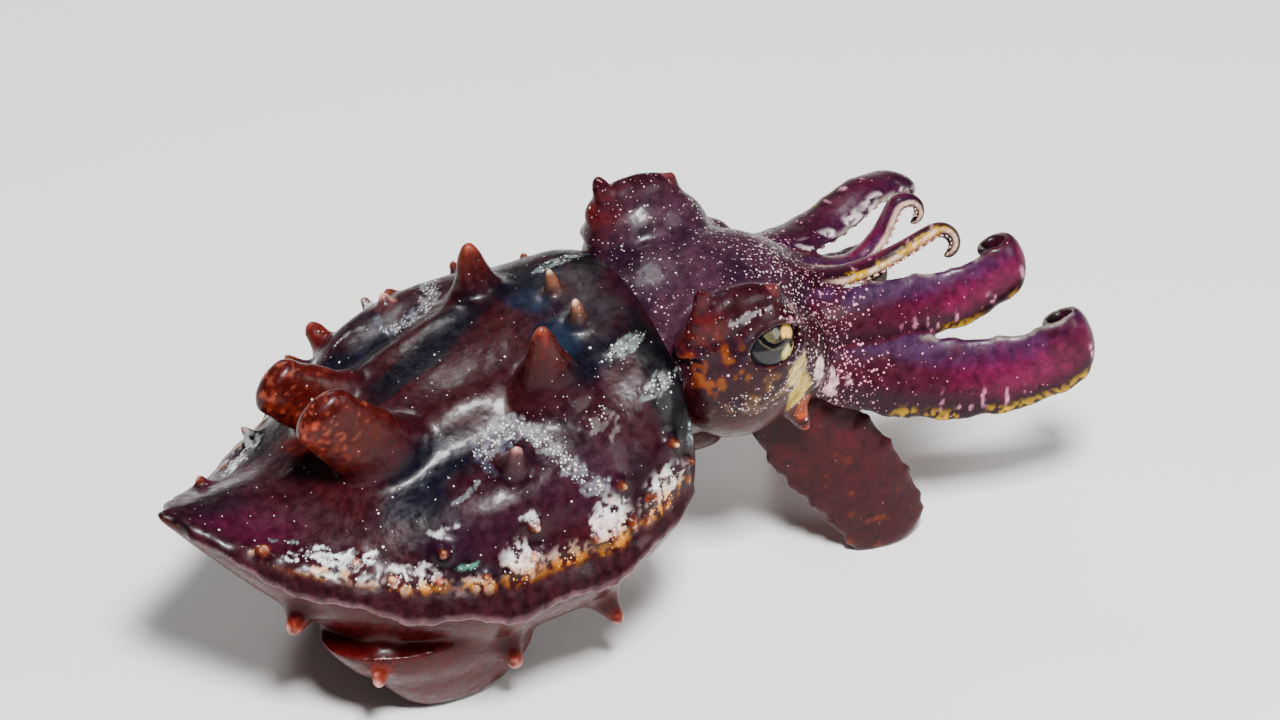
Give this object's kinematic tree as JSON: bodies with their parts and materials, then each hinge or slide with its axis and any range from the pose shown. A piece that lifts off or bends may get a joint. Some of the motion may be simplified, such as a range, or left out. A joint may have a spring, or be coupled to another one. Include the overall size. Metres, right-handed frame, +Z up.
{
  "type": "cuttlefish",
  "caption": "Walking flamboyant cuttlefish with a pointed tail, tall skin horns, side fins, raised eyes and broad arms held forward with curled tips",
  "frame": {"origin": "on the floor, under the middle of the bounding box", "axes": "+X from the tail tip to the arm tips, +Y to the animal's left, +Z up"},
  "size_m": [0.1118, 0.0482, 0.0468],
  "materials": {
    "mantle_skin": "moist skin, dark maroon with white flecks",
    "fin_skin": "moist skin, thin and slightly translucent",
    "head_skin": "moist skin, maroon with orange mottling",
    "arm_skin": "moist skin, magenta with pale flecks and yellow edges",
    "eye": "wet and glossy, with a W-shaped pupil",
    "beak": "dark horn, lightly polished"
  },
  "bodies": {
    "root": {"mantle": "mantle_skin", "walking_flap_left": "mantle_skin", "walking_flap_right": "mantle_skin", "fin_left": "fin_skin", "fin_right": "fin_skin", "head": "head_skin", "funnel": "head_skin", "mouth": "head_skin", "beak": "beak", "eye_left": "eye", "eye_right": "eye", "arm_1_left_base": "arm_skin", "arm_1_left_tip": "arm_skin", "arm_1_right_base": "arm_skin", "arm_1_right_tip": "arm_skin", "arm_2_left_base": "arm_skin", "arm_2_left_tip": "arm_skin", "arm_2_right_base": "arm_skin", "arm_2_right_tip": "arm_skin", "arm_3_left_base": "arm_skin", "arm_3_left_tip": "arm_skin", "arm_3_right_base": "arm_skin", "arm_3_right_tip": "arm_skin", "arm_4_left_base": "arm_skin", "arm_4_left_tip": "arm_skin", "arm_4_right_base": "arm_skin", "arm_4_right_tip": "arm_skin"}
  },
  "joints": []
}
